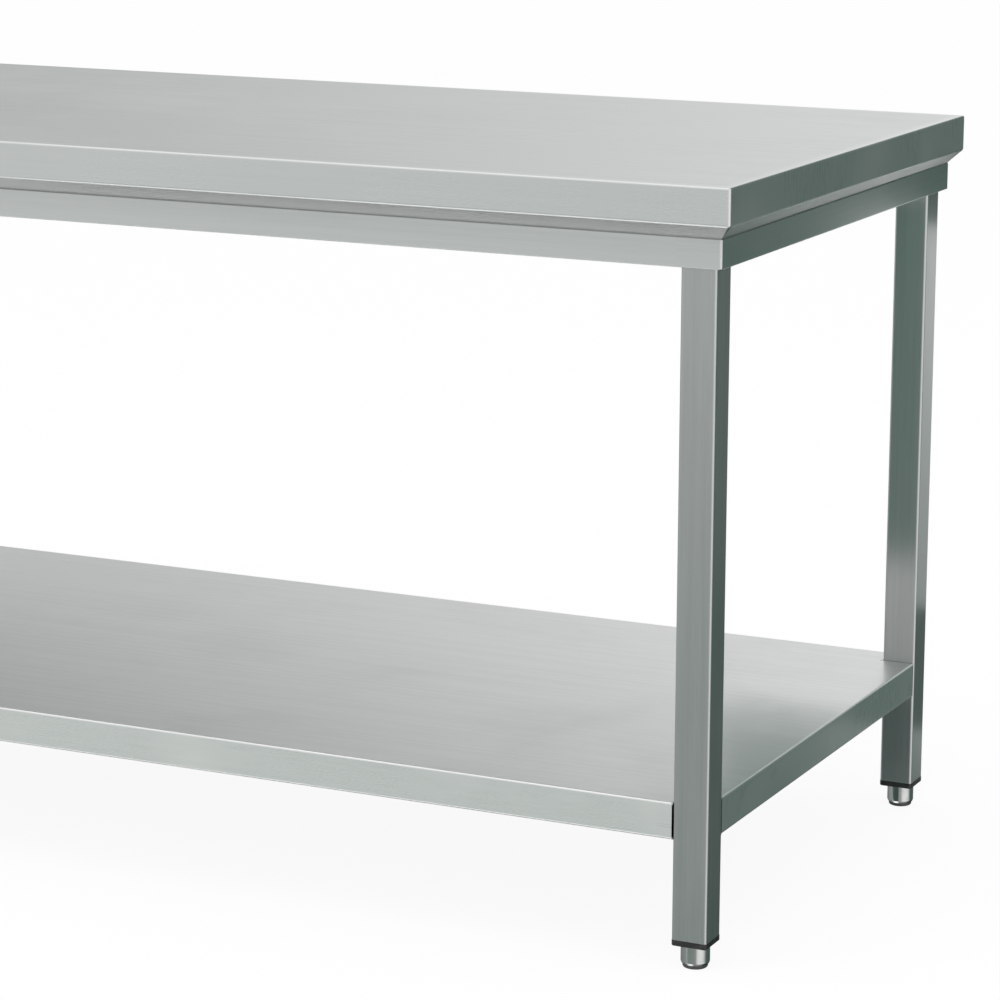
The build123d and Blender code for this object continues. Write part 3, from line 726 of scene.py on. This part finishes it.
def shelf_shells():
    """The shelf's flat plate, its four folded sides, and two short tabs at each leg's notch."""
    x, y, step = shelf_x, shelf_y, notch + plate_tab
    quarter_outline = [(x - fold_in, y - step), (x - step, y - step), (x - step, y - fold_in)]
    plan = []
    for sx, sy in ((1, 1), (-1, 1), (-1, -1), (1, -1)):
        corner = [(sx * px, sy * py) for px, py in quarter_outline]
        plan += corner if sx * sy > 0 else corner[::-1]
    shells = [slab(plan, under, shelf_top)]
    for quarter, run, face in ((0, x, y), (1, y, x), (2, x, y), (3, y, x)):
        reach = run - notch
        grain = (1, 0) if quarter % 2 == 0 else (0, -1)
        side = carry(side_section, straight_run(-reach, reach, face), grain=grain)
        shells.append(place(side, quarter))
    for sx, sy in CORNERS.values():
        # A tab lies on each wall of the notch, and looks out towards the leg. It runs back from where
        # it is put, or forward once it has made a half turn.
        tab_x = (x if sx > 0 else notch - x) - (0 if sy < 0 else notch)
        tab_y = (y if sy > 0 else notch - y) - (0 if sx > 0 else notch)
        tab = carry(tab_section, straight_run(-notch, 0, 0))
        shells.append(place(tab, 0 if sy < 0 else 2, (tab_x, sy * (y - notch), 0)))
        shells.append(place(tab, 1 if sx > 0 else 3, (sx * (x - notch), tab_y, 0)))
    return shells


piece("shelf_sheet", shelf_shells(), lit_shelf_steel, "frame", "brushed_stainless", "shelf_panel")

# Feet --------------------------------------------------------------------------------------

TURN_STEPS = 64


def turned_shell(profile):
    """Turns a closed outline of (radius, height) points about Z: the radius times cos and sin."""
    angle = np.arange(TURN_STEPS) / TURN_STEPS * 2 * math.pi
    out = np.stack([np.cos(angle), np.sin(angle)], 1)

    def ring(inset):
        return out * -inset, out

    shell = carry(profile, ring, ring_closed=True)
    x, y, _ = shell.points.T
    return shell._replace(grain=np.stack([-y, x, 0 * x], 1) / np.hypot(x, y)[:, None])


cup_radius = (cup_high.x - cup_low.x) / 2
CUP_WALL, CUP_ROOF, STEM_RADIUS = 1.5 * MM, 3.0 * MM, 5.0 * MM
CUP_BORE = STEM_RADIUS + 0.02 * MM
CUP_RIM_IN, CUP_RIM_UP = 0.9 * MM, 2.2 * MM  # the taper of the cup's lower rim
cup_section = outline(
    [
        (CUP_BORE, cup_high.z - CUP_ROOF),
        (cup_radius - CUP_WALL, cup_high.z - CUP_ROOF),
        (cup_radius - CUP_WALL, cup_low.z),
        (cup_radius - CUP_RIM_IN, cup_low.z),
        (cup_radius, cup_low.z + CUP_RIM_UP),
        (cup_radius, cup_high.z),
        (CUP_BORE, cup_high.z),
    ],
    [0.1 * MM, 0.5 * MM, 0.15 * MM, 0.3 * MM, 1.2 * MM, 1.1 * MM, 0.15 * MM],
)
cup_shell = turned_shell(cup_section)

PITCH = 1.5 * MM
THREAD_DEPTH = 0.9 * MM
THREAD_STEPS = 32  # round the stem
ROWS_A_PITCH = 8
NECK_RADIUS, TIP_RADIUS = 3.4 * MM, 4.5 * MM
TIP_EDGE, TIP_TOP, NECK_TOP = 0.5 * MM, 2.9 * MM, 6.1 * MM  # heights above the stem's foot
STEP = 0.1 * MM  # up which the stem's radius changes
AXIS = 0.01 * MM  # radius of the ring that a flat end closes on
THREAD_END = 1.2 * MM  # from the stem's top down to the thread's end
CHAMFER_FROM, CHAMFER_TO, CHAMFER_DOWN = 0.2 * MM, 1.1 * MM, 1.0 * MM  # in from the radius, and down
FLANK, ROOT = 1.35, 0.15  # the tooth's slope, and how much of it its flat root takes


def threaded_stem():
    """A screw stem: radius = crest - depth x a rounded tooth of (height / pitch - turn).

    The tooth fades out over one pitch at each end. The neck and tip below it are plain.
    """
    shoulder = stem_low.z + NECK_TOP + STEP
    plain = [
        (AXIS, 0.0),
        (TIP_RADIUS - TIP_EDGE, 0.0),
        (TIP_RADIUS, TIP_EDGE),
        (TIP_RADIUS, TIP_TOP),
        (NECK_RADIUS, TIP_TOP + STEP),
        (NECK_RADIUS, NECK_TOP),
        (STEM_RADIUS, NECK_TOP + STEP),
    ]
    last = stem_high.z - THREAD_END
    rows = np.arange(shoulder + 2 * STEP, last, PITCH / ROWS_A_PITCH)
    chamfer = [
        (STEM_RADIUS - CHAMFER_FROM, stem_high.z - CHAMFER_DOWN),
        (STEM_RADIUS - CHAMFER_TO, stem_high.z),
        (AXIS, stem_high.z),
    ]
    z = np.concatenate([[stem_low.z + h for _, h in plain], rows, [h for _, h in chamfer]])
    base = np.concatenate([[r for r, _ in plain], np.full(len(rows), STEM_RADIUS), [r for r, _ in chamfer]])
    angle = np.arange(THREAD_STEPS) / THREAD_STEPS * 2 * math.pi
    phase = z[:, None] / PITCH - angle[None, :] / (2 * math.pi)
    tooth = np.clip(np.abs((phase % 1.0) * 2 - 1) * FLANK - ROOT, 0, 1)
    first = cup_high.z + 0.2 * MM  # the thread starts just above the cup
    fade = np.clip((z - first) / PITCH, 0, 1) * np.clip((last - z) / PITCH, 0, 1)
    radius = base[:, None] - THREAD_DEPTH * (1 - tooth) * fade[:, None]
    up = np.broadcast_to(z[:, None], radius.shape)
    co = np.stack([radius * np.cos(angle), radius * np.sin(angle), up], 2)
    grid = np.arange(radius.size).reshape(radius.shape)
    wrapped = np.concatenate([grid, grid[:, :1]], 1)
    quads = np.stack([wrapped[:-1, :-1], wrapped[:-1, 1:], wrapped[1:, 1:], wrapped[1:, :-1]], -1)
    caps = quads.reshape(-1, 4).tolist() + [grid[0, ::-1].tolist(), grid[-1].tolist()]
    blank = np.zeros((radius.size, 3))
    # Every face is flat, because a thread's crests and roots are edges.
    return Shell(co.reshape(-1, 3), blank, blank[:, 0], blank, blank, [], caps)


stem_shell = threaded_stem()
for corner in CORNERS:
    low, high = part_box(f"{corner}_foot_stem")
    move = ((low.x + high.x) / 2, (low.y + high.y) / 2, 0)
    screw = f"{corner}_screw"
    cup, stem = place(cup_shell, 0, move), place(stem_shell, 0, move)
    cup_node, stem_node = f"{corner}_foot_cup", f"{corner}_foot_stem"
    piece(f"{corner}_polished_foot", [cup], foot_steel, screw, "polished_stainless", cup_node)
    piece(f"{corner}_threaded_stem", [stem], zinc, screw, "zinc_steel", stem_node)

# Finishes of the nodes that stay as packed ---------------------------------------------------

stiffener_steel = brushed_steel("stiffener steel", TONE, SHADE, 0.4, own_sheet=False)
NODE_FINISH = {
    "stiffener": stiffener_steel,
    "foot_plug": black_nylon,
    "foot_pad": grey_pad,
    "top_board": board,
}
for name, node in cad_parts.items():
    finish = next((m for key, m in NODE_FINISH.items() if key in name), zinc)
    node.data.materials.clear()
    node.data.materials.append(finish)

# Studio ------------------------------------------------------------------------------------


# Patches of light and shade: direction, inner and outer angle in degrees, height to width, colour
LOBES = (
    ((0, 0, 1), 25, 70, 1, (1.0, 1.0, 1.0)),  # ceiling
    ((-0.42, -0.5, 0.76), 18, 36, 1, (1.5, 1.5, 1.49)),  # high front light, for the top folds
    ((-0.42, 0.89, 0.25), 12, 34, 1, (1.13, 1.14, 1.13)),  # back wall, in the worktop
    ((-0.65, -0.75, 0.1), 15, 58, 1, (0.88, 0.885, 0.88)),  # front wall, in the drop edge
    ((0, 0, -1), 70, 84, 1, (0.34, 0.35, 0.345)),  # floor
    ((-0.4, -0.66, -0.64), 16, 32, 1, (2.1, 2.08, 2.08)),  # low front light, for the lower folds
    ((-0.4, -0.86, -0.37), 5, 23, 0.25, (0.26, 0.33, 0.295)),  # dark band, low in the legs' fronts
    ((-0.2, 0.35, -0.9), 24, 50, 1, (0.08, 0.09, 0.085)),  # dark floor behind, in the front return
    ((-1, 0.72, -0.05), 15, 46, 1, (0.28, 0.31, 0.3)),  # dark left corner, in the worktop's left
    ((0.5, 0.85, -0.1), 28, 50, 1.4, (0.105, 0.155, 0.138)),  # dark green wall, in the right end
    ((0.2, 0.52, -0.83), 22, 42, 1, (0.03, 0.05, 0.045)),  # dark floor, in the right end's return
    ((0.9, -0.42, -0.1), 14, 45, 1.3, (1.15, 1.15, 1.14)),  # right light, for the upright corners
)
STUDIO = (0.95, 0.955, 0.95)  # beyond the patches
WHITE = (1, 1, 1)


def make_world():
    """A soft studio all round: white to the camera, and the lobes' patches in the steel."""
    world = bpy.data.worlds.new("studio")
    bpy.context.scene.world = world
    world.use_nodes = True
    world.node_tree.nodes.clear()
    nodes = Nodes(world.node_tree)
    direction = nodes.add("ShaderNodeTexCoord").outputs["Generated"]

    def lobe(aim, inner, outer, tall):
        squash = (1, 1, 1 / tall)
        aim = np.array(aim) * squash
        unit = tuple((aim / np.linalg.norm(aim)).tolist())
        squashed = nodes.vector("NORMALIZE", nodes.vector("MULTIPLY", direction, squash))
        pair = {0: squashed, 1: unit}
        near = nodes.add("ShaderNodeVectorMath", pair, operation="DOT_PRODUCT").outputs["Value"]
        return nodes.spread(near, math.cos(math.radians(outer)), math.cos(math.radians(inner)))

    colour = (*STUDIO, 1)
    for aim, inner, outer, tall, patch in LOBES:
        colour = nodes.blend(lobe(aim, inner, outer, tall), colour, (*patch, 1))
    seen = nodes.add("ShaderNodeLightPath").outputs["Is Camera Ray"]
    colour = nodes.blend(seen, colour, (*WHITE, 1))
    back = nodes.add("ShaderNodeBackground", {"Color": colour, "Strength": 1.0})
    nodes.add("ShaderNodeOutputWorld", {"Surface": back.outputs[0]})


make_world()


def soft_light(name, place_at, aim, size, power):
    """A square soft light at a place, turned to face a point, and not mirrored in the steel."""
    lamp = bpy.data.lights.new(name, "AREA")
    lamp.size, lamp.energy = size, power
    obj = in_scene(name, lamp)
    obj.location = place_at
    look = np.array(aim, float) - np.array(place_at, float)
    tilt = math.atan2(math.hypot(look[0], look[1]), -look[2])
    obj.rotation_euler = Euler((tilt, 0, math.atan2(look[1], look[0]) - math.pi / 2))
    obj.visible_glossy = False


soft_light("overhead light", (0.3, -0.6, 3.2), (0, 0, 0.4), 2.6, 30)
soft_light("front light", (-1.8, -3.2, 2.2), (0, 0, 0.5), 2.0, 20)


def stage_plane(name, corners, material):
    """A flat four-cornered studio piece, which isn't part of the table."""
    mesh = bpy.data.meshes.new(name)
    mesh.from_pydata(corners, [], [(0, 1, 2, 3)])
    obj = in_scene(name, mesh)
    mesh.materials.append(material)
    return obj


def make_floor_finish():
    """A pale floor: it shows the shadow softly, and is plain white away from it."""
    material, nodes, shader, _ = start_material("pale floor")
    shader.inputs["Base Color"].default_value = (0.9, 0.9, 0.9, 1)
    shader.inputs["Roughness"].default_value = 0.9
    shader.inputs["Specular IOR Level"].default_value = 0.0
    glow = nodes.add("ShaderNodeEmission", {"Color": (1, 1, 1, 1), "Strength": 1.0})
    seen = nodes.add("ShaderNodeLightPath").outputs["Is Camera Ray"]
    share = nodes.math("MULTIPLY", seen, FLOOR_GLOW)
    mix = nodes.add("ShaderNodeMixShader", {0: share, 1: shader.outputs[0], 2: glow.outputs[0]})
    finish = next(n for n in material.node_tree.nodes if n.type == "OUTPUT_MATERIAL")
    nodes.tree.links.new(mix.outputs[0], finish.inputs["Surface"])
    return material


FLOOR = 30.0  # half the floor's side
FLOOR_GLOW = 0.92  # how much of the floor that the camera sees is plain white
floor_corners = [(-FLOOR, -FLOOR, 0), (FLOOR, -FLOOR, 0), (FLOOR, FLOOR, 0), (-FLOOR, FLOOR, 0)]
floor = stage_plane("floor", floor_corners, make_floor_finish())
floor.visible_glossy = False


def card(name, sides, back, levels, low_glow, high_glow):
    """An upright card facing the front, seen only in the steel, with a colour at each end of its height."""
    (left, right), (low, high) = sides, levels
    material = bpy.data.materials.new(name)
    material.use_nodes = True
    material.node_tree.nodes.clear()
    nodes = Nodes(material.node_tree)
    here = nodes.add("ShaderNodeTexCoord").outputs["Object"]
    level = nodes.add("ShaderNodeSeparateXYZ", {0: here}).outputs["Z"]
    colour = nodes.blend(nodes.spread(level, low, high), (*low_glow, 1), (*high_glow, 1))
    glow = nodes.add("ShaderNodeEmission", {"Color": colour, "Strength": 1.0})
    nodes.add("ShaderNodeOutputMaterial", {"Surface": glow.outputs[0]})
    corners = [(left, back, low), (right, back, low), (right, back, high), (left, back, high)]
    obj = stage_plane(name, corners, material)
    obj.visible_camera = obj.visible_diffuse = obj.visible_shadow = obj.visible_transmission = False


# Pale cards behind the rear right leg light its right face, and dark ones before it shade its front.
BEHIND_LEG, BEFORE_LEG = 0.45, 0.16
card("pale_card", (0.75, 0.87), BEHIND_LEG, (0.2, 0.66), (0.55, 0.6, 0.58), (0.95, 0.97, 0.96))
card("low_pale_card", (0.75, 0.83), BEHIND_LEG, (-0.02, 0.05), (0.35, 0.4, 0.38), (0.5, 0.55, 0.53))
card("dark_card", (0.52, 0.725), BEFORE_LEG, (0.27, 0.7), (0.19, 0.27, 0.24), (0.16, 0.25, 0.22))
card("low_dark_card", (0.52, 0.725), BEFORE_LEG, (-0.05, 0.12), (0.07, 0.11, 0.1), (0.07, 0.11, 0.1))

LENS, SENSOR_WIDTH = 131.07, 36.0  # millimetres
CAMERA_AT = (2.04102, -3.55908, 1.25468)
CAMERA_TURN = (77.5878, -0.2128, 25.5851)  # degrees
camera = bpy.data.cameras.new("camera")
camera.lens, camera.sensor_width, camera.clip_end = LENS, SENSOR_WIDTH, 100.0
camera_object = in_scene("camera", camera)
camera_object.location = CAMERA_AT
camera_object.rotation_euler = Euler([math.radians(a) for a in CAMERA_TURN])
bpy.context.scene.camera = camera_object
bpy.context.scene.view_settings.view_transform = "Standard"
